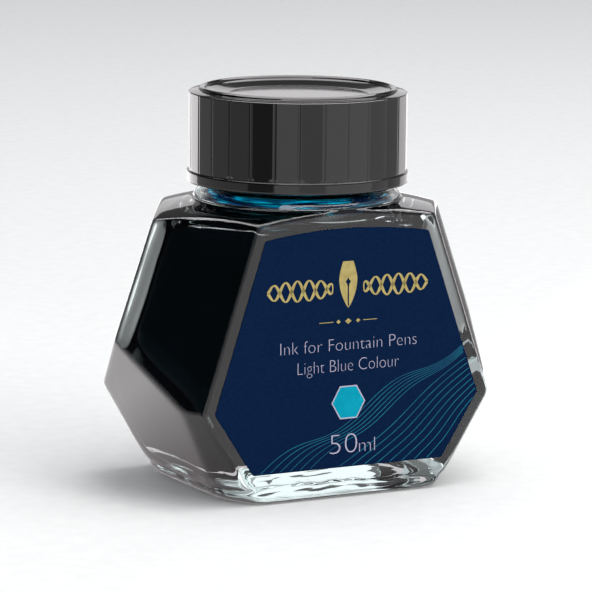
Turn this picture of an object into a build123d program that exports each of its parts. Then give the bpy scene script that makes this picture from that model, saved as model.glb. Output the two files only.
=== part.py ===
"""Faceted glass ink bottle with a screw cap.

Frame: +Z up, origin on the table under the middle of the bottle, X along the bottle's long
side and -Y towards the label.  Millimetres and degrees.
"""
from build123d import *
from math import cos, radians, sin, sqrt, tan
import os

os.makedirs("parts", exist_ok=True)

# ---------------------------------------------------------------- body of the bottle
body_width = 70.4          # across the two end ridges, at their widest point
face_gap = 39.1            # between the front and back faces, at the table
face_lean = 1.5            # inward lean of the front and back faces
ridge_height = 26.8        # height of the widest point of each end ridge
waist_height = 16.2        # height of the level edges between side and corner facets
side_plan = 30.0           # plan angle between a side facet's normal and the long axis
side_lean = 17.0           # inward lean of the four upper side facets
end_dip = 27.2             # dip below level of the two lower end facets' normals
corner_dip = 28.8          # dip below level of the four lower corner facets' normals
dome_radius = 100.0        # shoulder, part of a sphere
dome_top = 51.2            # height that sphere reaches on the centre line
edge_round = 1.1           # fire-polished outer edges
base_rim = 3.4             # width of the standing rim round the hollow under the base
base_hollow = 0.5          # depth of that hollow

# ---------------------------------------------------------------- glass thickness
wall = 4.4                 # behind the faces, side facets and end facets
floor_height = 5.6         # inside floor above the table
dome_wall = 3.0            # under the shoulder
inner_round = 3.0          # inside edges
ink_level = 46.0           # height of the ink's surface, just under the shoulder

# ---------------------------------------------------------------- neck finish
neck_radius = 15.0         # neck wall between the threads
neck_wall = 2.0            # from there in to the bore
collar_reach = 3.1         # rounded ring below the cap, out from the neck wall
collar_top = 51.7
collar_round = 2.4
collar_sink = 1.0          # how far the ring is rooted in the shoulder
rim_height = 64.6          # sealing rim
rim_round = 0.6
thread_pitch = 25.4 / 6    # six threads to the inch
thread_turns = 1.25
thread_depth = 1.15
thread_root_width = 2.4
thread_crest_width = 1.1
thread_start = 57.4        # height of the lower end of the bottle's thread, mid-ridge
thread_sink = 0.3          # how far a ridge is rooted in the wall that carries it

# ---------------------------------------------------------------- cap
cap_bottom = 52.4
cap_wall = 2.7             # from the cap's bore out to the plain band at its mouth
band_height = 2.0
band_bevel = 0.25
grip_step = 0.2            # corners of the flat grip facets, in from the band
grip_facets = 28
grip_turn = -1.5           # plan angle of the first grip corner with the cap closed
bevel_width = 1.4          # bevel from the grip in to the lip
lip_half_width = 0.7       # raised lip, from its outer foot in to its crest
dish_width = 4.4           # from the lip's crest in to the flat disc
crown = 2.3                # flat disc above the cap's ceiling
bevel_drop = 0.7           # top of the grip below the disc
lip_rise = 0.25            # feet of the lip above the disc
crest_rise = 0.9           # crest of the lip above the disc
seal_thickness = 1.0       # wad between the cap and the rim
mouth_bevel = 0.4

# ---------------------------------------------------------------- clearances
thread_gap = 0.35          # radial, crest to root, both ways
flank_gap = 0.3            # axial, between the loaded flanks
seal_gap = 0.3             # wad edge to cap bore

# ---------------------------------------------------------------- label
label_thickness = 0.12
label_margin = 1.9         # to the side and corner facets
label_top_margin = 2.9     # to the shoulder
label_bottom = 5.4
label_corner = 0.6

bore_radius = neck_radius - neck_wall
collar_radius = neck_radius + collar_reach
cap_bore = neck_radius + thread_depth + thread_gap
band_radius = cap_bore + cap_wall
grip_radius = band_radius - grip_step
shoulder_radius = grip_radius - bevel_width
lip_radius = shoulder_radius - lip_half_width
disc_radius = lip_radius - dish_width
ceiling_height = rim_height + seal_thickness
disc_height = ceiling_height + crown
grip_top = disc_height - bevel_drop
lip_foot = disc_height + lip_rise
cap_top = disc_height + crest_rise
shoulder_centre = dome_top - dome_radius
waist_depth = face_gap / 2 - waist_height * tan(radians(face_lean))
ridge_slope = tan(radians(side_lean)) / cos(radians(side_plan))
waist_ridge = body_width / 2 + (ridge_height - waist_height) * ridge_slope
waist_corner = waist_ridge - waist_depth * tan(radians(side_plan))


# ---------------------------------------------------------------- facets of the body
def facet(point, plan, rise):
    """Plane through a point; its outward normal has this plan angle and rise above level."""
    level = cos(radians(rise))
    normal = (level * cos(radians(plan)), level * sin(radians(plan)), sin(radians(rise)))
    return Plane(origin=point, z_dir=normal)


def face_planes():
    """Front and back faces."""
    return [facet((0, side * face_gap / 2, 0), side * 90, face_lean) for side in (-1, 1)]


def side_planes():
    """Four upper side facets, meeting in pairs at the two end ridges."""
    planes = []
    for end in (-1, 1):
        for side in (-1, 1):
            turn = 90 - end * (90 - side * side_plan)
            planes.append(facet((end * body_width / 2, 0, ridge_height), turn, side_lean))
    return planes


def end_planes():
    """Two lower end facets, on which the bottle can lean."""
    return [facet((end * body_width / 2, 0, ridge_height), 90 - end * 90, -end_dip)
            for end in (-1, 1)]


def corner_planes():
    """Four lower corner facets, starting level at the waist."""
    planes = []
    for end in (-1, 1):
        for side in (-1, 1):
            turn = 90 - end * (90 - side * side_plan)
            point = (end * waist_corner, side * waist_depth, waist_height)
            planes.append(facet(point, turn, -corner_dip))
    return planes


def gem(groups, floor, dome_inset):
    """Block under the shoulder dome, cut by groups of facet planes, each with its inset."""
    form = Pos(0, 0, floor) * Box(2 * body_width, 2 * face_gap, 2 * dome_top,
                                  align=(Align.CENTER, Align.CENTER, Align.MIN))
    for planes, inset in groups:
        for plane in planes:
            form = split(form, bisect_by=plane.offset(-inset), keep=Keep.BOTTOM)
    return form & Pos(0, 0, shoulder_centre) * Sphere(dome_radius - dome_inset)


# ---------------------------------------------------------------- threads
def thread_ridge(root_radius, crest_radius, start_height):
    """Right-hand helical ridge from a wall out, or in, to its crest; the flanks run on into the wall."""
    outward = 1 if crest_radius > root_radius else -1
    base_radius = root_radius - outward * thread_sink
    flank = (thread_root_width - thread_crest_width) / 2
    half_base = thread_root_width / 2 + flank * thread_sink / thread_depth
    half_crest = thread_crest_width / 2
    lead = Helix(pitch=thread_pitch, height=thread_turns * thread_pitch, radius=root_radius)
    section_outline = Polyline((base_radius, -half_base), (crest_radius, -half_crest),
                               (crest_radius, half_crest), (base_radius, half_base), close=True)
    profile = Plane.XZ * make_face(section_outline)
    return Pos(0, 0, start_height) * sweep(profile, path=lead, is_frenet=True)


# ---------------------------------------------------------------- glass
def neck_form():
    """Solid neck: rounded collar, plain wall and rounded rim, turned about the centre line."""
    root = shoulder_centre + sqrt(dome_radius ** 2 - collar_radius ** 2) - collar_sink
    round_radius = collar_radius - collar_round
    rim_radius = neck_radius - rim_round
    middle = Polyline((collar_radius, collar_top - collar_round), (collar_radius, root), (0, root),
                      (0, rim_height), (rim_radius, rim_height))
    rim = RadiusArc((rim_radius, rim_height), (neck_radius, rim_height - rim_round), rim_round)
    stem = Polyline((neck_radius, rim_height - rim_round), (neck_radius, collar_top),
                    (round_radius, collar_top))
    collar = RadiusArc((round_radius, collar_top), (collar_radius, collar_top - collar_round),
                       collar_round)
    outline = make_face(Plane.XZ * Wire([*middle.edges(), *rim.edges(), *stem.edges(),
                                         *collar.edges()]))
    return revolve(outline, Axis.Z)


def cavity_form():
    """Space inside the glass: the well, its rounded edges and the bore of the neck."""
    well = gem([(face_planes(), wall), (side_planes(), wall), (end_planes(), wall)],
               floor_height, dome_wall)
    well = fillet(well.edges(), inner_round)
    bore_foot = ink_level - inner_round
    bore = Pos(0, 0, bore_foot) * Cylinder(bore_radius, rim_height + wall - bore_foot,
                                           align=(Align.CENTER, Align.CENTER, Align.MIN))
    return well + bore


def glass_bottle(cavity):
    """Body, neck and thread in one piece of pressed glass."""
    body = gem([(face_planes(), 0), (side_planes(), 0), (end_planes(), 0), (corner_planes(), 0)],
               0, 0)
    body = fillet(body.edges(), edge_round)
    hollow = gem([(face_planes(), base_rim), (end_planes(), base_rim),
                  (corner_planes(), base_rim)], 0, 0)
    hollow &= Box(2 * body_width, 2 * face_gap, 2 * base_hollow)
    thread = thread_ridge(neck_radius, neck_radius + thread_depth, thread_start)
    neck = neck_form() + thread
    return (body - hollow - cavity) + (neck - cavity)


def ink(cavity):
    """The filling, level with the top of the well."""
    below = Box(2 * body_width, 2 * face_gap, ink_level,
                align=(Align.CENTER, Align.CENTER, Align.MIN))
    return cavity & below


# ---------------------------------------------------------------- cap
def cap_envelope():
    """Turned form over the grip: bevel, raised lip, dished step and flat disc."""
    bevel_rise = (lip_foot - grip_top) / (grip_radius - shoulder_radius)
    edge = band_radius + band_bevel
    edge_height = grip_top - (edge - grip_radius) * bevel_rise
    inner_foot = 2 * lip_radius - shoulder_radius
    sides = Polyline((disc_radius, disc_height), (0, disc_height), (0, cap_bottom),
                     (edge, cap_bottom), (edge, edge_height), (shoulder_radius, lip_foot))
    lip = ThreePointArc((shoulder_radius, lip_foot), (lip_radius, cap_top),
                        (inner_foot, lip_foot))
    dish = ThreePointArc((inner_foot, lip_foot),
                         ((inner_foot + disc_radius) / 2, (3 * disc_height + lip_foot) / 4),
                         (disc_radius, disc_height))
    outline = make_face(Plane.XZ * Wire([*sides.edges(), *lip.edges(), *dish.edges()]))
    return revolve(outline, Axis.Z)


def cap():
    """Faceted grip over a plain band, hollow below, with the thread inside."""
    grip = Pos(0, 0, cap_bottom) * extrude(
        RegularPolygon(grip_radius, grip_facets, rotation=grip_turn), cap_top - cap_bottom)
    grip &= cap_envelope()
    band = Pos(0, 0, cap_bottom) * Cylinder(band_radius, band_height,
                                            align=(Align.CENTER, Align.CENTER, Align.MIN))
    band = chamfer(band.edges().filter_by(GeomType.CIRCLE), band_bevel)
    bore = Pos(0, 0, cap_bottom) * Cylinder(cap_bore, ceiling_height - cap_bottom,
                                            align=(Align.CENTER, Align.CENTER, Align.MIN))
    mouth = Pos(0, 0, cap_bottom) * Cone(cap_bore + mouth_bevel, cap_bore, mouth_bevel,
                                         align=(Align.CENTER, Align.CENTER, Align.MIN))
    flank = (thread_root_width - thread_crest_width) / 2
    drop = thread_root_width - flank * (1 + thread_gap / thread_depth) + flank_gap
    thread = thread_ridge(cap_bore, cap_bore - thread_depth, thread_start - drop)
    return grip + band - bore - mouth + thread


def cap_liner():
    """Sealing wad lying between the cap's ceiling and the bottle's rim."""
    return Pos(0, 0, rim_height) * Cylinder(cap_bore - seal_gap, seal_thickness,
                                            align=(Align.CENTER, Align.CENTER, Align.MIN))


# ---------------------------------------------------------------- label
def front_label():
    """Thin label on the front face, following its outline with an even margin."""
    front, back = face_planes()
    form = gem([([back], 0), (side_planes(), label_margin), (corner_planes(), label_margin)],
               label_bottom, label_top_margin)
    outline = section(form, section_by=front)
    outline = fillet(outline.vertices(), label_corner)
    return extrude(outline, label_thickness, dir=front.z_dir)


filling_space = cavity_form()
parts = {
    "glass_bottle": glass_bottle(filling_space),
    "ink": ink(filling_space),
    "cap": cap(),
    "cap_liner": cap_liner(),
    "front_label": front_label(),
}
for node, solid in parts.items():
    export_step(solid, f"parts/{node}.step")
    print(node, round(solid.volume / 1000, 3), "cm3")
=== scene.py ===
import math

import bpy
import numpy as np
from mathutils import Matrix, Vector


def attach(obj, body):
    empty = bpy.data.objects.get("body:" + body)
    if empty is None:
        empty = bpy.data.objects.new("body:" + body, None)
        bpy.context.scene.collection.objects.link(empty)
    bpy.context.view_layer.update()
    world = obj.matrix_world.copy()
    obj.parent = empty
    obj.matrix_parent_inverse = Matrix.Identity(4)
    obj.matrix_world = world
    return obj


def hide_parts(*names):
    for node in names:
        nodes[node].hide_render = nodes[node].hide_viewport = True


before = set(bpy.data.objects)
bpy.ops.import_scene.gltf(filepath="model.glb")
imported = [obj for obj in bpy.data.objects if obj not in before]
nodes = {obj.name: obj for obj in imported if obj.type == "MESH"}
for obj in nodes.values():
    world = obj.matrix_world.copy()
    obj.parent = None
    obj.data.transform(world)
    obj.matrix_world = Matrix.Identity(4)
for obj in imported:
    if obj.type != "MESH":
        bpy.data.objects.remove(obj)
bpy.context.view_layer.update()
mm = 0.001

# ---------------------------------------------------------------- glass of the bottle
# Body, neck and thread of the bottle: one gob of clear soda-lime glass, pressed and blown in a
# two-part mould and fire-polished, so its facets are flat and every edge is softly rounded.
body_width, face_gap, face_lean = 70.4, 39.1, 1.5
ridge_height, waist_height = 26.8, 16.2
side_plan, side_lean, end_dip, corner_dip = 30.0, 17.0, 27.2, 28.8
dome_radius, dome_top = 100.0, 51.2
wall, dome_wall, floor_height = 4.4, 3.0, 5.6
base_rim, base_hollow, hollow_slope = 3.4, 0.5, 1.6
collar_radius, collar_top, collar_foot, collar_round = 18.1, 51.7, 46.0, 2.4
neck_radius, bore_radius, bore_foot, rim_height, rim_round = 15.0, 13.0, 43.0, 64.6, 0.6
collar_swell, swell_height = 3.5, 2.1
seam_height, seam_depth, seam_width = 2.4, 0.30, 0.42
wide_ripple, fine_ripple = 0.10, 0.06
thread_pitch, thread_turns, thread_start, thread_depth = 25.4 / 6, 1.25, 57.4, 1.15
thread_root_width, thread_crest_width = 2.4, 1.1
edge_sharpness, heel_sharpness, inside_sharpness = 4.2, 1.5, 1.2
heel_foot, heel_reach, collar_sharpness, bore_sharpness = 1.5, 6.0, 5.0, 1.6


def facet(point, plan, rise):
    """Outward normal and offset of the plane through a point, from its plan angle and its rise
    above level."""
    plan, rise = math.radians(plan), math.radians(rise)
    normal = np.array([math.cos(rise) * math.cos(plan), math.cos(rise) * math.sin(plan), math.sin(rise)])
    return np.append(normal, normal @ np.array(point, float))


waist_depth = face_gap / 2 - waist_height * math.tan(math.radians(face_lean))
waist_ridge = body_width / 2 + (ridge_height - waist_height) * (
    math.tan(math.radians(side_lean)) / math.cos(math.radians(side_plan)))
waist_corner = waist_ridge - waist_depth * math.tan(math.radians(side_plan))
side_turns = [(end, side, 90 - end * (90 - side * side_plan)) for end in (-1, 1) for side in (-1, 1)]
faces = [facet((0, side * face_gap / 2, 0), side * 90, face_lean) for side in (-1, 1)]
sides = [facet((end * body_width / 2, 0, ridge_height), turn, side_lean) for end, side, turn in side_turns]
ends = [facet((end * body_width / 2, 0, ridge_height), 90 - end * 90, -end_dip) for end in (-1, 1)]
corners = [facet((end * waist_corner, side * waist_depth, waist_height), turn, -corner_dip)
           for end, side, turn in side_turns]
outside = np.array(faces + sides + ends + corners + [facet((0, 0, 0), 0, -90)])
inside = np.array(faces + sides + ends)


def past(planes, p):
    """Distance of each point beyond each plane, one plane along the first axis."""
    return np.tensordot(planes[:, :3], p, axes=(1, 0)) - planes[:, 3].reshape(-1, *[1] * (p.ndim - 1))


def over_dome(p, inset):
    """Distance above the shoulder's sphere."""
    return np.sqrt(p[0] ** 2 + p[1] ** 2 + (p[2] - dome_top + dome_radius) ** 2) - dome_radius + inset


def eased(share):
    """Smooth step: 3 s^2 - 2 s^3, with s held between 0 and 1."""
    s = np.clip(share, 0, 1)
    return s * s * (3 - 2 * s)


def largest(distances, sharpness):
    """Smooth maximum along the first axis: the log of a sum of exponentials, which rounds every edge."""
    top = distances.max(0)
    return top + np.log(np.exp(sharpness * (distances - top)).sum(0)) / sharpness


def outer_glass(p):
    """Below zero inside the body or its collar; the heel's edges are rounder than the rest."""
    lift = eased((p[2] - heel_foot) / heel_reach)
    sharpness = heel_sharpness + (edge_sharpness - heel_sharpness) * lift
    body = largest(np.concatenate([past(outside, p), over_dome(p, 0)[None]]), sharpness)
    reach = np.hypot(p[0], p[1]) - collar_radius + collar_round
    rise = p[2] - collar_top + collar_round
    ring = np.hypot(np.maximum(reach, 0), np.maximum(rise, 0)) + np.minimum(np.maximum(reach, rise), 0)
    ring = np.maximum(ring - collar_round, collar_foot - p[2])
    return -largest(np.stack([-body, -ring]), collar_sharpness)


def bore_at(z):
    """Radius of the neck's bore at a height: it swells behind the collar, as blown glass does."""
    return bore_radius + collar_swell * np.exp(-((z - collar_top + collar_round) / swell_height) ** 2)


def inner_glass(p):
    """Below zero inside the well, whose walls ripple a little, or inside the bore of the neck."""
    well = largest(np.concatenate([past(inside, p) + wall, over_dome(p, dome_wall)[None],
                                   (floor_height - p[2])[None]]), inside_sharpness)
    ripple = wide_ripple * np.sin(p[0] * 0.31 + 1.0) * np.cos(p[1] * 0.37)
    ripple = ripple + fine_ripple * np.sin(p[2] * 0.4 + p[0] * 0.2)
    bore = np.maximum(np.hypot(p[0], p[1]) - bore_at(p[2]), bore_foot - p[2])
    return -largest(np.stack([-well - ripple, -bore]), bore_sharpness)


def reach_out(field, heights, rises, turns, level=0.0, reach=60.0, halvings=34):
    """Points where rays from the centre line, each with its height and rise, meet the field's
    surface at the given level, found by halving the reach again and again."""
    direction = np.stack([np.cos(rises)[:, None] * np.cos(turns),
                          np.cos(rises)[:, None] * np.sin(turns),
                          np.sin(rises)[:, None] * np.ones_like(turns)])
    start = np.zeros_like(direction)
    start[2] = heights[:, None]
    near, far = np.zeros(direction.shape[1:]), np.full(direction.shape[1:], reach)
    for _ in range(halvings):
        middle = (near + far) / 2
        within = field(start + middle * direction) < level
        near, far = np.where(within, middle, near), np.where(within, far, middle)
    return start + near * direction


def gathered(first, last, count, places, width, pull):
    """Numbers from first to last that stand closer together near the given places."""
    fine = np.linspace(first, last, 4001)
    density = 1 + sum(pull / (1 + ((fine - place) / width) ** 2) for place in places)
    total = np.concatenate([[0], np.cumsum((density[1:] + density[:-1]) / 2)])
    return np.interp(np.linspace(0, total[-1], count), total, fine)


def slope(field, p):
    """Unit outward normal of the field at each point, from central differences."""
    step = 0.02
    moves = step * np.eye(3).reshape(3, 3, *[1] * (p.ndim - 1))
    grad = np.stack([field(p + moves[i]) - field(p - moves[i]) for i in range(3)])
    return grad / np.linalg.norm(grad, axis=0)


def turned(profile_r, profile_z, turns):
    """Points of a profile carried round the centre line; the radius may differ from column to column."""
    r, z, turns = np.broadcast_arrays(profile_r, profile_z, turns)
    return np.stack([r * np.cos(turns), r * np.sin(turns), z])


def skin(name, points, normals=None, ring=False):
    """Mesh object from a grid of points in millimetres: columns go once round and close on
    themselves; rows close on themselves too in a ring, or else end in a pole at each end."""
    rows, cols = points.shape[1:]
    grid = points.transpose(1, 2, 0).reshape(-1, 3) * mm
    c = np.arange(cols)
    d = (c + 1) % cols
    if ring:
        r = np.arange(rows)[:, None] * cols
        s = (np.arange(rows)[:, None] + 1) % rows * cols
        quads = np.stack([r + c, r + d, s + d, s + c], -1).reshape(-1, 4)
        caps = np.empty((0, 3), int)
        verts, keep = grid, slice(None)
    else:
        keep = slice(cols - 1, (rows - 1) * cols + 1)
        verts = grid[keep]
        r = np.arange(rows - 3)[:, None] * cols + 1
        quads = np.stack([r + c, r + d, r + cols + d, r + cols + c], -1).reshape(-1, 4)
        last = (rows - 3) * cols + 1
        caps = np.concatenate([np.stack([0 * c, 1 + d, 1 + c], -1),
                               np.stack([last + c, last + d, 0 * c + last + cols], -1)])
    mesh = bpy.data.meshes.new(name)
    mesh.from_pydata(verts.tolist(), [], quads.tolist() + caps.tolist())
    mesh.shade_smooth()
    if normals is not None:
        flat = normals.transpose(1, 2, 0).reshape(-1, 3)[keep]
        mesh.normals_split_custom_set_from_vertices(flat.tolist())
    piece = bpy.data.objects.new(name, mesh)
    bpy.context.scene.collection.objects.link(piece)
    return piece


def finish(name, **settings):
    """Material with one Principled shader; each setting goes straight on that shader's socket."""
    material = bpy.data.materials.new(name)
    material.use_nodes = True
    shader = material.node_tree.nodes["Principled BSDF"]
    for socket, value in settings.items():
        shader.inputs[socket.replace("_", " ")].default_value = value
    return material, material.node_tree, shader


def grain(tree, scale, detail=4.0, stretch=(1, 1, 1)):
    """Noise on object coordinates, stretched along the axes; returns its value socket."""
    place = tree.nodes.new("ShaderNodeTexCoord")
    mapping = tree.nodes.new("ShaderNodeMapping")
    mapping.inputs["Scale"].default_value = stretch
    noise = tree.nodes.new("ShaderNodeTexNoise")
    noise.inputs["Scale"].default_value = scale
    noise.inputs["Detail"].default_value = detail
    tree.links.new(place.outputs["Object"], mapping.inputs["Vector"])
    tree.links.new(mapping.outputs["Vector"], noise.inputs["Vector"])
    return noise.outputs["Fac"]


def between(tree, value, low, high, first, last):
    """Carries a noise value from low..high onto first..last, numbers or colours, for one socket."""
    if isinstance(first, tuple):
        ramp = tree.nodes.new("ShaderNodeValToRGB")
        ramp.color_ramp.elements[0].position, ramp.color_ramp.elements[1].position = low, high
        ramp.color_ramp.elements[0].color, ramp.color_ramp.elements[1].color = (*first, 1), (*last, 1)
        tree.links.new(value, ramp.inputs["Fac"])
        return ramp.outputs["Color"]
    span = tree.nodes.new("ShaderNodeMapRange")
    for socket, number in (("From Min", low), ("From Max", high), ("To Min", first), ("To Max", last)):
        span.inputs[socket].default_value = number
    tree.links.new(value, span.inputs["Value"])
    return span.outputs["Result"]


def relief(tree, shader, value, depth, strength=1.0):
    """Bump of the given depth in metres on the shader's normal."""
    bump = tree.nodes.new("ShaderNodeBump")
    bump.inputs["Distance"].default_value = depth
    bump.inputs["Strength"].default_value = strength
    tree.links.new(value, bump.inputs["Height"])
    tree.links.new(bump.outputs["Normal"], shader.inputs["Normal"])


quarter = [0, 30, 35, 41, 47]
turns = np.radians(gathered(0, 360, 301, [s * q + o for q in quarter for s, o in
                                          ((1, 0), (-1, 180), (1, 180), (-1, 360))], 2.0, 1.2)[:-1])
low_point, high_point, neck_foot_round = 6.0, 44.0, 0.3
heel = gathered(-90, 0, 45, [-50, -10], 7.0, 3.5)[:-1]
belly = gathered(low_point, high_point, 92, [waist_height, ridge_height], 1.2, 2.0)
crown_end = math.degrees(math.atan2(collar_top - high_point, neck_radius + neck_foot_round))
crown = gathered(0, crown_end, 44, [6, 14, 20], 5.0, 1.5)[1:]
out_heights = np.concatenate([np.full(len(heel), low_point), belly, np.full(len(crown), high_point)])
out_rises = np.radians(np.concatenate([heel, np.zeros(len(belly)), crown]))
shell = reach_out(outer_glass, out_heights, out_rises, turns)
shell_slope = slope(outer_glass, shell)
past_rim = largest(past(np.array(faces + ends + corners), shell), heel_sharpness) + base_rim
shell[2] += base_hollow * eased(-past_rim / hollow_slope) * (shell[2] < 3)
seam = seam_height + 0.22 * np.sin(3 * turns + 1) + 0.14 * np.sin(11 * turns) + 0.08 * np.sin(29 * turns + 2)
uneven = 0.75 + 0.25 * np.sin(7 * turns + 0.5) * np.sin(17 * turns)
shell[:2] *= 1 - seam_depth * uneven * np.exp(-((shell[2] - seam) / seam_width) ** 2) / 20


def thread_on(z, turns, start, ends=math.radians(24)):
    """Height, 0 to 1, of a helical ridge with sloping flanks that dies away at both of its ends."""
    sweep = 2 * math.pi * thread_turns
    height = np.zeros(np.broadcast(z, turns).shape)
    for lap in (0, 1):
        along = turns + 2 * math.pi * lap
        off = np.abs(z - start - thread_pitch * along / (2 * math.pi))
        flank = (thread_root_width - thread_crest_width) / 2
        ridge = (thread_root_width / 2 - off) / flank
        fade = np.clip(along / ends, 0, 1) * np.clip((sweep - along) / ends, 0, 1)
        height = np.maximum(height, eased(ridge) * eased(fade))
    return height


stem_z = np.linspace(collar_top + 0.25, rim_height - rim_round, 46)[:, None]
stem_r = neck_radius + neck_foot_round * np.exp(-(stem_z - collar_top) / 0.4)
stem_r = stem_r + thread_depth * thread_on(stem_z, turns, thread_start)
bend = np.radians(np.linspace(0, 90, 5))[1:, None]
rim_middle = rim_height - rim_round
rim_out = turned(neck_radius - rim_round + rim_round * np.cos(bend), rim_middle + rim_round * np.sin(bend),
                 turns)
rim_in = turned(bore_radius + rim_round - rim_round * np.sin(bend), rim_middle + rim_round * np.cos(bend),
                turns)
in_top, in_low, bore_join = 41.0, 11.0, 52.0
bore_z = np.linspace(rim_middle - rim_round, bore_join + 0.5, 16)[:, None]
bore = turned(bore_at(bore_z), bore_z, turns)
hollow = np.linspace(math.degrees(math.atan2(bore_join - in_top, bore_radius)), 0, 30)
well = np.linspace(in_top, in_low, 34)[1:]
bowl = np.linspace(0, -90, 16)[1:]
in_heights = np.concatenate([np.full(len(hollow), in_top), well, np.full(len(bowl), in_low)])
in_rises = np.radians(np.concatenate([hollow, np.zeros(len(well)), bowl]))
lining = reach_out(inner_glass, in_heights, in_rises, turns)
lining_slope = -slope(inner_glass, lining)
middle = np.concatenate([turned(stem_r, stem_z, turns), rim_out, rim_in, bore], axis=1)
shell_slope[:, shell[2] < 4.5] = 0
glass = skin("glass_body_and_neck", np.concatenate([shell, middle, lining], axis=1),
             np.concatenate([shell_slope, np.zeros_like(middle), lining_slope], axis=1))
clear, tree, shader = finish("clear_pressed_glass", Base_Color=(0.97, 0.99, 0.985, 1),
                             Transmission_Weight=1.0, IOR=1.5)
tree.links.new(between(tree, grain(tree, 90, 3), 0.35, 0.7, 0.0, 0.006), shader.inputs["Roughness"])
relief(tree, shader, grain(tree, 110, 1), 0.00003, 0.35)
tint = tree.nodes.new("ShaderNodeVolumeAbsorption")
tint.inputs["Color"].default_value = (0.45, 0.90, 0.88, 1)
tint.inputs["Density"].default_value = 7.0
tree.links.new(tint.outputs["Volume"], tree.nodes["Material Output"].inputs["Volume"])
glass.data.materials.append(clear)
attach(glass, "bottle")
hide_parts("glass_bottle")

# ---------------------------------------------------------------- ink
# The filling: dye ink, so dark in this depth that it looks black, wetting the glass all round
# and standing just under the shoulder with a slight rise where it meets the wall.
ink_level, wetting, ink_sag, meniscus = 47.2, 0.05, 0.2, 0.15
in_rows = np.radians(np.linspace(-90, 0, 18))[:-1]
wall_z = np.linspace(in_low, ink_level - ink_sag, 44)
ink_wall = reach_out(inner_glass, np.concatenate([np.full(len(in_rows), in_low), wall_z]),
                     np.concatenate([in_rows, np.zeros(len(wall_z))]), turns, wetting)
shrink = np.concatenate([[1.0, 0.985, 0.95], np.linspace(0.9, 0.0, 12)])[:, None]
edge = ink_wall[:, -1:, :]
lid_z = ink_level - ink_sag * shrink + meniscus * np.exp(-(1 - shrink) * 30)
lid = np.stack([edge[0] * shrink, edge[1] * shrink, lid_z * np.ones_like(turns)])
ink = skin("blue_ink_filling", np.concatenate([ink_wall, lid[:, 1:]], axis=1))
dark, tree, shader = finish("dark_blue_ink", IOR=1.09, Roughness=0.06, Specular_Tint=(0.22, 0.80, 0.78, 1))
darkest, lightest = (0.0006, 0.0010, 0.0016), (0.0008, 0.0022, 0.0042)
tree.links.new(between(tree, grain(tree, 60, 3), 0.3, 0.8, darkest, lightest), shader.inputs["Base Color"])
ink.data.materials.append(dark)
pool, tree, shader = finish("ink_surface", IOR=1.35, Roughness=0.02)
tree.links.new(between(tree, grain(tree, 90, 2), 0.3, 0.7, (0.0005, 0.004, 0.010), (0.0008, 0.008, 0.020)),
               shader.inputs["Base Color"])
ink.data.materials.append(pool)
slots = np.zeros(len(ink.data.polygons), int)
slots[(len(in_rows) + len(wall_z) - 2) * len(turns):] = 1
slots[-2 * len(turns):-len(turns)] = 0
ink.data.polygons.foreach_set("material_index", slots)
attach(ink, "bottle")
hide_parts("ink")

# ---------------------------------------------------------------- film of ink in the neck
# Ink left on the glass above the level each time the bottle is tipped: a thin clear blue coat
# that runs down in streaks, so it is cyan where thin and navy where it has gathered.
film_top, film_gap = 55.0, 0.03
film_foot = math.atan2(ink_level + 0.1 - in_top, 24.0)
film_rise = np.linspace(film_foot, math.atan2(bore_join - in_top, bore_radius), 40)
film_low = reach_out(inner_glass, np.full(len(film_rise), in_top), film_rise, turns, -film_gap)
high_z = np.linspace(bore_join + 0.3, film_top, 8)[:, None]
film_high = turned(bore_at(high_z) - film_gap, high_z, turns)
coat = np.concatenate([film_low, film_high], axis=1)
back_of_coat = coat * np.array([0.995, 0.995, 1])[:, None, None]
film = skin("ink_film_in_neck", np.concatenate([coat, back_of_coat[:, ::-1]], axis=1), ring=True)
blue, tree, shader = finish("thin_blue_ink", IOR=1.05, Roughness=0.03, Transmission_Weight=1.0)
runs = tree.nodes.new("ShaderNodeMath")
thin = tree.nodes.new("ShaderNodeSeparateXYZ")
tree.links.new(grain(tree, 150, 4, (1, 1, 9.0)), runs.inputs[0])
tree.links.new(tree.nodes["Texture Coordinate"].outputs["Object"], thin.inputs["Vector"])
tree.links.new(between(tree, thin.outputs["Z"], 0.0494, 0.0512, 0.0, 0.13), runs.inputs[1])
tree.links.new(between(tree, runs.outputs["Value"], 0.47, 0.64, (0.001, 0.035, 0.11), (0.02, 0.74, 0.90)),
               shader.inputs["Base Color"])
film.data.materials.append(blue)
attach(film, "bottle")

# ---------------------------------------------------------------- cap
# Screw cap moulded in one piece from glossy black phenolic: a plain band at the mouth, twenty-eight
# flat grips, a bevel up to a raised lip and a shallow dish on top, with the thread inside.
cap_bottom, cap_top, band_radius, band_height = 52.4, 68.8, 19.2, 2.0
grip_radius, grip_count, grip_turn, grip_top = 19.0, 28, -1.5, 67.95
shoulder_radius, lip_radius, lip_foot = 17.2, 16.6, 68.25
disc_radius, disc_height, cap_bore, ceiling = 12.3, 67.5, 16.5, 65.6
thread_drop, mouth_bevel = 1.85, 0.4
groove_depth, groove_width, twist_most = 0.10, 0.12, math.radians(0.5)
corner_sharpness, bevel_sharpness, step_sharpness = 14, 6.0, 30
sector = 2 * math.pi / grip_count


def meet(a, b, sharpness):
    """Smooth minimum of two radii, which rounds the edge where two surfaces cross."""
    low = np.minimum(a, b)
    return low - np.log(np.exp(-sharpness * (a - low)) + np.exp(-sharpness * (b - low))) / sharpness


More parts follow.
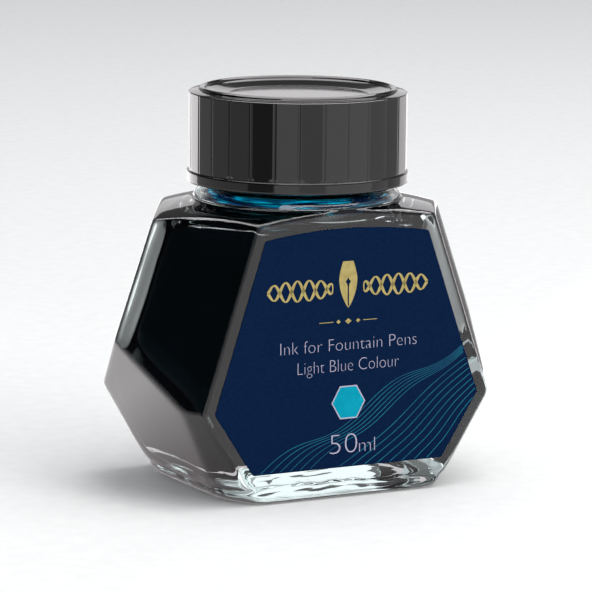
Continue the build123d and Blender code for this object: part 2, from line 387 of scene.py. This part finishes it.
grip_corners = np.arange(grip_count + 1) * 360 / grip_count
cap_turns = np.radians(grip_turn + gathered(0, 360, grip_count * 14 + 1, grip_corners, 0.5, 6.0)[:-1])
off_middle = np.mod(cap_turns - math.radians(grip_turn), sector) - sector / 2
which = np.floor(np.mod(cap_turns - math.radians(grip_turn), 2 * math.pi) / sector).astype(int)
twist = twist_most * np.sin(which * 2.4 + 0.7)
off_corner = grip_radius * (sector / 2 - np.abs(off_middle))
flat_r = grip_radius * math.cos(sector / 2) / np.cos(off_middle - twist)
flat_r = meet(flat_r, grip_radius + 0.02, corner_sharpness)
flat_r = flat_r - groove_depth * np.exp(-(off_corner / groove_width) ** 2)
cap_bore_z = np.linspace(ceiling - 0.4, cap_bottom + mouth_bevel, 60)[:, None]
thread_off = thread_on(cap_bore_z, np.mod(cap_turns, 2 * math.pi), thread_start - thread_drop)
inner_wall = cap_bore - thread_depth * thread_off
ceiling_r = np.array([0, 5, 10, 14, cap_bore - 0.7, cap_bore - 0.2, cap_bore - 0.03])[:, None]
ceiling_z = ceiling - np.array([0, 0, 0, 0, 0.02, 0.12, 0.3])[:, None]
mouth_r = np.concatenate([cap_bore + np.array([0.2, 0.38, 0.45, 0.6]),
                          band_radius - np.array([0.5, 0.25, 0.15, 0.07, 0.02, 0])])[:, None]
mouth_z = cap_bottom + np.array([0.2, 0.03, 0, 0, 0, 0.01, 0.05, 0.12, 0.2, 0.3])[:, None]
band_r = band_radius - np.array([0, 0, 0, 0.02, 0.07, 0.15])[:, None]
band_z = cap_bottom + band_height - np.array([1.4, 0.5, 0.25, 0.15, 0.06, 0.01])[:, None]
step_r = grip_radius - np.array([0.03, 0.1, 0.13, 0.13])[:, None] * np.ones_like(cap_turns)
step_r = meet(step_r, flat_r + 0.02, step_sharpness)
step_z = cap_bottom + band_height + np.array([0, 0.02, 0.1, 0.2])[:, None]
grip_z = np.concatenate([np.linspace(54.9, 67.4, 20), np.linspace(67.5, lip_foot - 0.01, 24)])[:, None]
bevel = grip_radius - (grip_z - grip_top) * (grip_radius - shoulder_radius) / (lip_foot - grip_top)
grip_r = meet(flat_r, bevel, bevel_sharpness)
lip_a = np.radians(np.linspace(0, 180, 12))[:, None]
lip_r = lip_radius + (shoulder_radius - lip_radius) * np.cos(lip_a)
lip_z = lip_foot + (cap_top - lip_foot) * np.sin(lip_a)
dish_t = np.linspace(0, 1, 9)[1:, None]
inner_foot = 2 * lip_radius - shoulder_radius
dish_r = inner_foot + (disc_radius - inner_foot) * dish_t
dish_z = disc_height + (lip_foot - disc_height) * (1 - dish_t) ** 1.15
disc_r = np.linspace(disc_radius - 0.5, 0, 8)[:, None]
cap_profile = [(ceiling_r, ceiling_z), (inner_wall, cap_bore_z), (mouth_r, mouth_z), (band_r, band_z),
               (step_r, step_z), (grip_r, grip_z), (lip_r, lip_z), (dish_r, dish_z), (disc_r, disc_height)]
cap = skin("cap_with_flat_grips", np.concatenate([turned(r, z, cap_turns) for r, z in cap_profile], axis=1))
black, tree, shader = finish("glossy_black_moulding", Base_Color=(0.0035, 0.0033, 0.0036, 1), IOR=1.5)
tree.links.new(between(tree, grain(tree, 700, 5), 0.3, 0.75, 0.04, 0.11), shader.inputs["Roughness"])
relief(tree, shader, grain(tree, 240, 3, (1, 1, 0.4)), 0.00002, 0.4)
cap.data.materials.append(black)
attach(cap, "cap")
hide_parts("cap")

# ---------------------------------------------------------------- sealing wad
# Disc punched from white closed-cell foam, lying loose between the cap's ceiling and the rim.
foam, tree, shader = finish("white_foam", Roughness=0.85)
cells = grain(tree, 2600, 5)
tree.links.new(between(tree, cells, 0.35, 0.65, (0.62, 0.62, 0.6), (0.82, 0.82, 0.8)),
               shader.inputs["Base Color"])
relief(tree, shader, cells, 0.0001, 0.6)
nodes["cap_liner"].data.materials.clear()
nodes["cap_liner"].data.materials.append(foam)

# ---------------------------------------------------------------- label
# Thin coated paper, printed solid navy and die-cut to the outline of the front face.
navy, tree, shader = finish("navy_label_paper", Roughness=0.6, Specular_IOR_Level=0.02)
fibre = grain(tree, 1500, 6, (1, 1, 1.6))
tree.links.new(between(tree, fibre, 0.3, 0.7, (0.0009, 0.0090, 0.0370), (0.0016, 0.0122, 0.0465)),
               shader.inputs["Base Color"])
relief(tree, shader, fibre, 0.00003, 0.5)
nodes["front_label"].data.materials.clear()
nodes["front_label"].data.materials.append(navy)

# ---------------------------------------------------------------- printing on the label
# Gold foil band and small ornament, pale lettering, a patch of the ink colour and fine lines, all
# printed flat on the paper; each is a thin sheet just proud of it.
paper_thickness, label_inset, volume_foot = 0.12, 1.9, 7.75
label_front = face_gap / 2 + paper_thickness / math.cos(math.radians(face_lean))
lean = math.tan(math.radians(face_lean))
front_planes = [plane for plane, (end, side, turn) in zip(sides + corners, side_turns * 2) if side < 0]
label_edge = np.array(front_planes) - [0, 0, 0, label_inset]


def on_label(x, z, proud=0.02):
    """Points on the leaning front of the label from their place along it and their height."""
    return np.stack([x, -(label_front + proud - z * lean), z], -1)


def printed(name, points, polygons, material):
    """Flat printed piece on the bottle from points in millimetres and its polygons."""
    mesh = bpy.data.meshes.new(name)
    mesh.from_pydata((np.asarray(points) * mm).tolist(), [], [list(map(int, p)) for p in polygons])
    mesh.materials.append(material)
    piece = bpy.data.objects.new(name, mesh)
    bpy.context.scene.collection.objects.link(piece)
    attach(piece, "bottle")
    return piece


def ribbons(lines, widths, proud):
    """Flat ribbons along many lines of x and z: each point moved half a width to both sides of its line."""
    points, polygons, base = [], [], 0
    for line, width in zip(lines, widths):
        run = np.gradient(line, axis=0)
        run /= np.linalg.norm(run, axis=1)[:, None]
        across = np.stack([-run[:, 1], run[:, 0]], -1) * np.asarray(width).reshape(-1, 1) / 2
        pair = np.stack([line - across, line + across], 1).reshape(-1, 2)
        points.append(on_label(pair[:, 0], pair[:, 1], proud))
        i = base + 2 * np.arange(len(line) - 1)
        polygons.append(np.stack([i, i + 2, i + 3, i + 1], -1))
        base += len(pair)
    return np.concatenate(points), np.concatenate(polygons)


gold, tree, shader = finish("gold_foil", Metallic=0.75)
speck = grain(tree, 900, 4)
tree.links.new(between(tree, speck, 0.3, 0.7, (0.30, 0.245, 0.085), (0.42, 0.35, 0.13)),
               shader.inputs["Base Color"])
tree.links.new(between(tree, speck, 0.3, 0.7, 0.38, 0.5), shader.inputs["Roughness"])
braid_height, braid_inner, braid_length, braid_rise, braid_waves = 36.35, 3.0, 12.5, 1.75, 2.75
u = np.linspace(0, 1, 221)
sway = 2 * np.pi * braid_waves * u
band_lines, band_widths = [], []
for side in (-1, 1):
    for phase in (0, np.pi):
        z = braid_height + braid_rise * np.sin(np.pi * u) ** 0.25 * np.cos(sway + phase)
        band_lines.append(np.stack([side * (braid_inner + braid_length * u), z], -1))
        band_widths.append(0.22 + 0.34 * np.abs(np.sin(sway)))
points, polygons = ribbons(band_lines, band_widths, 0.02)
printed("gold_braid", points, polygons, gold)

nib_foot, nib_length, nib_shoulder, nib_widest = 32.9, 8.0, 0.62, 1.75
nib_t = np.linspace(0.003, 1, 40)
nib_half = np.where(nib_t < nib_shoulder,
                    nib_widest * np.sin(np.pi / 2 * np.minimum(nib_t / nib_shoulder, 1)) ** 0.8,
                    nib_widest - 0.75 * (np.maximum(nib_t - nib_shoulder, 0) / (1 - nib_shoulder)) ** 1.5)
nib_z = nib_foot + nib_length * nib_t
slit = np.where((nib_t > 0.04) & (nib_t < 0.5), 0.13, 0.0) + 0.5 * np.exp(-((nib_t - 0.56) / 0.05) ** 2)
slit = np.minimum(slit, nib_half * 0.6)
nib_x = np.stack([-nib_half, -slit, slit, nib_half], -1)
cells_at = np.arange(39)[:, None] * 4 + np.array([0, 2])
nib_faces = np.stack([cells_at, cells_at + 1, cells_at + 5, cells_at + 4], -1).reshape(-1, 4)
printed("gold_nib", on_label(nib_x.ravel(), np.repeat(nib_z, 4), 0.03), nib_faces, gold)

ornament_height = 30.6
lozenge = np.array([[-1, 0], [0, -1], [1, 0], [0, 1]])
small_lozenge = lozenge * (0.42, 0.36)
rule = np.array([[-1.35, -0.06], [1.35, -0.06], [1.35, 0.06], [-1.35, 0.06]])
marks = np.concatenate([lozenge * (0.62, 0.5), small_lozenge - [1.9, 0], small_lozenge + [1.9, 0],
                        rule - [4.25, 0], rule + [4.25, 0]]) + [0, ornament_height]
printed("gold_lozenges", on_label(marks[:, 0], marks[:, 1]), np.arange(20).reshape(5, 4), gold)

pale, tree, shader = finish("pale_print", Roughness=0.6, Specular_IOR_Level=0.2)
tree.links.new(between(tree, grain(tree, 1200, 4), 0.3, 0.7, (0.36, 0.335, 0.45), (0.45, 0.42, 0.54)),
               shader.inputs["Base Color"])


def lettering(name, words, left, right, foot, height, material, thin):
    """Generic words set from left to right on one line: a text curve made a mesh, then fitted."""
    curve = bpy.data.curves.new(name + "_outline", "FONT")
    curve.body = words
    curve.offset = -thin
    curve.resolution_u = 6
    text = bpy.data.objects.new(name + "_outline", curve)
    mesh = bpy.data.meshes.new_from_object(text)
    at = np.zeros(len(mesh.vertices) * 3)
    mesh.vertices.foreach_get("co", at)
    at = at.reshape(-1, 3)
    x = left + (at[:, 0] - at[:, 0].min()) / np.ptp(at[:, 0]) * (right - left)
    z = foot + at[:, 1] * height
    polygons = [list(p.vertices) for p in mesh.polygons]
    bpy.data.objects.remove(text)
    bpy.data.curves.remove(curve)
    return printed(name, on_label(x, z), polygons, material)


lettering("words_first_line", "Ink for Fountain Pens", -13.1, 13.4, 25.6, 3.15, pale, 0.026)
lettering("words_second_line", "Light Blue Colour", -9.8, 9.9, 22.0, 3.15, pale, 0.026)
lettering("volume_number", "50", -3.7, 1.7, volume_foot, 5.1, pale, 0.026)
lettering("volume_unit", "ml", 2.1, 5.2, volume_foot, 3.6, pale, 0.024)

patch_height, patch_radius, outline_width = 16.6, 3.3, 0.25
corner = np.arange(6)
patch_ring = np.stack([np.cos(corner * np.pi / 3), np.sin(corner * np.pi / 3)], -1)
outer = patch_ring * patch_radius + [0, patch_height]
inner = patch_ring * (patch_radius - outline_width) + [0, patch_height]
rim_faces = np.stack([corner, (corner + 1) % 6, (corner + 1) % 6 + 6, corner + 6], -1)
both = np.concatenate([outer, inner])
printed("patch_outline", on_label(both[:, 0], both[:, 1], 0.03), rim_faces, pale)
teal, tree, shader = finish("teal_print", Roughness=0.5, Specular_IOR_Level=0.02)
tree.links.new(between(tree, grain(tree, 700, 4), 0.3, 0.7, (0.0, 0.28, 0.39), (0.002, 0.32, 0.44)),
               shader.inputs["Base Color"])
printed("colour_patch", on_label(inner[:, 0], inner[:, 1], 0.03), [corner], teal)

line_ink, tree, shader = finish("fine_line_blue", Roughness=0.6, Specular_IOR_Level=0.05)
tree.links.new(between(tree, grain(tree, 70, 2), 0.35, 0.65, (0.012, 0.085, 0.17), (0.015, 0.23, 0.33)),
               shader.inputs["Base Color"])
line_foot, line_margin, line_width = 5.2, 0.05, 0.085
t = np.linspace(0, 1, 500)
sweeps = [(-17.5 + 1.9 * i, 24.5, 26.4 - 0.28 * i, 0.62 - 0.05 * i, 1.0) for i in range(6)]
rises = [(-2.5 + 2.5 * i, 26.5, 24.3 - 1.05 * i, 0.12, 0.62) for i in range(8)]
flow, flow_widths = [], []
for x_first, x_last, z_last, wave, power in sweeps + rises:
    x = x_first + (x_last - x_first) * t
    climb = np.sin(math.pi / 2 * t ** (1 + power)) * (1 - power) + t * power
    climb = climb + wave * np.sin(4 * math.pi * t) / (4 * math.pi)
    z = line_foot + (z_last - line_foot) * climb
    held = (past(label_edge, on_label(x, z).T).max(0) < -line_margin) & (z > line_foot + 0.4)
    first, last = np.argmax(held), len(held) - np.argmax(held[::-1])
    flow.append(np.stack([x, z], -1)[first:last:4])
    flow_widths.append(np.full(len(flow[-1]), line_width))
points, polygons = ribbons(flow, flow_widths, 0.015)
printed("flowing_lines", points, polygons, line_ink)

# ---------------------------------------------------------------- floor, cards and light
# Plain pale floor under soft studio light. A glowing card over the floor, a ring of cards, a dark
# flag on the left and walls behind are seen only in reflections and through the glass.
scene = bpy.context.scene
scene.view_settings.view_transform = "Standard"
world = bpy.data.worlds.new("soft_room")
scene.world = world
world.use_nodes = True
world.node_tree.nodes["Background"].inputs["Color"].default_value = (0.93, 0.96, 1.0, 1)
world.node_tree.nodes["Background"].inputs["Strength"].default_value = 0.55


def card(name, points, polygons, colour, strength, seen=("glossy", "transmission")):
    """Stage sheet that only glows; it is seen by the named kinds of ray and casts no shadow."""
    mesh = bpy.data.meshes.new(name)
    mesh.from_pydata(np.asarray(points, float).tolist(), [], [list(map(int, p)) for p in polygons])
    material = bpy.data.materials.new(name)
    material.use_nodes = True
    tree = material.node_tree
    glow = tree.nodes.new("ShaderNodeEmission")
    glow.inputs["Color"].default_value = (*colour, 1)
    glow.inputs["Strength"].default_value = strength
    tree.links.new(glow.outputs["Emission"], tree.nodes["Material Output"].inputs["Surface"])
    mesh.materials.append(material)
    sheet = bpy.data.objects.new(name, mesh)
    scene.collection.objects.link(sheet)
    for ray in ("camera", "diffuse", "glossy", "transmission", "volume_scatter", "shadow"):
        setattr(sheet, "visible_" + ray, ray in seen)
    return sheet


def upright(radius, first, last, low, high):
    """Points and polygons of an upright curved sheet about the centre line, between two plan angles."""
    a = np.radians(np.linspace(first, last, 33))
    foot = np.stack([radius * np.cos(a), radius * np.sin(a), np.full(33, low)], -1)
    i = np.arange(32)
    return np.concatenate([foot, foot + [0, 0, high - low]]), np.stack([i, i + 1, i + 34, i + 33], -1)


far, studio_white = 4.0, (1.0, 0.97, 0.98)
square = np.array([[-far, -far], [far, -far], [far, far], [-far, far]])
glow = card("floor_glow", np.c_[square, np.full(4, 0.00005)], [[0, 1, 2, 3]], studio_white, 1.55)
tree = glow.data.materials[0].node_tree
# Painted shadow: the floor card's glow dims to grey in an oval round the bottle's foot, a contact shadow
# painted into what the glass reflects and shows through.
place, painted_shadow_oval, ring = (tree.nodes.new("ShaderNode" + kind) for kind in ("TexCoord", "Mapping", "TexGradient"))
ring.gradient_type = "SPHERICAL"
painted_shadow_oval.inputs["Scale"].default_value = (1 / 0.085, 1 / 0.08, 1)
tree.links.new(place.outputs["Object"], painted_shadow_oval.inputs["Vector"])
tree.links.new(painted_shadow_oval.outputs["Vector"], ring.inputs["Vector"])
tree.links.new(between(tree, ring.outputs["Fac"], 0.40, 0.72, studio_white, (0.36, 0.33, 0.34)),
               tree.nodes["Emission"].inputs["Color"])
ring_radius, ring_foot, ring_top = 0.2, 0.0002, 0.05
card("black_flag", *upright(ring_radius, 119, 221, ring_top, 0.3), studio_white, 0.02, ("glossy",))
for name, first, last, strength in (
        ("grey_card_left", 119, 192, 0.60), ("dark_card_left", 192, 219, 0.16),
        ("card_front_left", 219, 244, 1.3), ("card_front", 244, 270, 0.95),
        ("card_front_right", 270, 322, 1.5), ("card_right", 322, 346, 0.95),
        ("grey_card_right", 346, 372, 0.56), ("bright_strip_right", 12, 38, 1.6),
        ("bright_strip_left", 84, 119, 3.2)):
    card(name, *upright(ring_radius, first, last, ring_foot, ring_top), studio_white, strength, ("glossy",))
wall_white = (1.0, 0.98, 1.0)
card("grey_wall", *upright(0.92, 10, 118, ring_foot, 0.42), wall_white, 0.42)
card("dim_wall", *upright(0.88, 10, 118, 0.33, 0.66), wall_white, 0.13)
card("pale_wall", *upright(0.9, 44, 79, 0.12, 0.33), wall_white, 1.1)
card("card_behind", *upright(0.12, 36, 74, 0.0006, 0.034), (1.0, 0.95, 0.97), 0.2, ("glossy",))
card("overhead_card", np.c_[square / far * 0.6, np.full(4, 0.6)], [[3, 2, 1, 0]], studio_white, 5.5,
     ("glossy",))

floor_mesh = bpy.data.meshes.new("floor")
floor_mesh.from_pydata(np.c_[square, np.zeros(4)].tolist(), [], [[0, 1, 2, 3]])
paper, tree, shader = finish("pale_floor", Roughness=0.8, Specular_IOR_Level=0.1)
tree.links.new(between(tree, grain(tree, 300, 5), 0.3, 0.7, (0.80, 0.80, 0.79), (0.84, 0.84, 0.83)),
               shader.inputs["Base Color"])
floor_mesh.materials.append(paper)
floor = bpy.data.objects.new("floor", floor_mesh)
scene.collection.objects.link(floor)


def softbox(name, place, aim, size, power, colour=(1, 1, 1)):
    """Square area light at a place, turned to face its aim."""
    lamp = bpy.data.lights.new(name, "AREA")
    lamp.size, lamp.energy, lamp.color = size, power, colour
    light = bpy.data.objects.new(name, lamp)
    scene.collection.objects.link(light)
    light.location = place
    light.rotation_euler = (light.location - Vector(aim)).to_track_quat("Z", "Y").to_euler()
    light.visible_glossy = False
    return light


softbox("overhead", (0.25, -0.15, 0.95), (0, 0, 0.03), 0.8, 6.5)
softbox("front_fill", (0.35, -0.9, 0.45), (0, 0, 0.03), 0.6, 4.0)

# ---------------------------------------------------------------- camera
# Long lens, low in front of the bottle and to its left.
azimuth, tilt, roll = math.radians(-28.3), math.radians(9.64), math.radians(0.58)
aim_height, distance, focal_length = 0.032, 0.7, 244.2
back = np.array([math.sin(azimuth) * math.cos(tilt), -math.cos(azimuth) * math.cos(tilt), math.sin(tilt)])
level = np.array([math.cos(azimuth), math.sin(azimuth), 0.0])
upward = np.cross(back, level)
across = level * math.cos(roll) + upward * math.sin(roll)
top = -level * math.sin(roll) + upward * math.cos(roll)
lens = bpy.data.cameras.new("camera")
lens.lens, lens.sensor_width, lens.clip_start = focal_length, 36.0, 0.01
camera = bpy.data.objects.new("camera", lens)
scene.collection.objects.link(camera)
turned_frame = np.eye(4)
turned_frame[:3, 0], turned_frame[:3, 1], turned_frame[:3, 2] = across, top, back
turned_frame[:3, 3] = np.array([0, 0, aim_height]) + distance * back
camera.matrix_world = Matrix(turned_frame.tolist())
scene.camera = camera
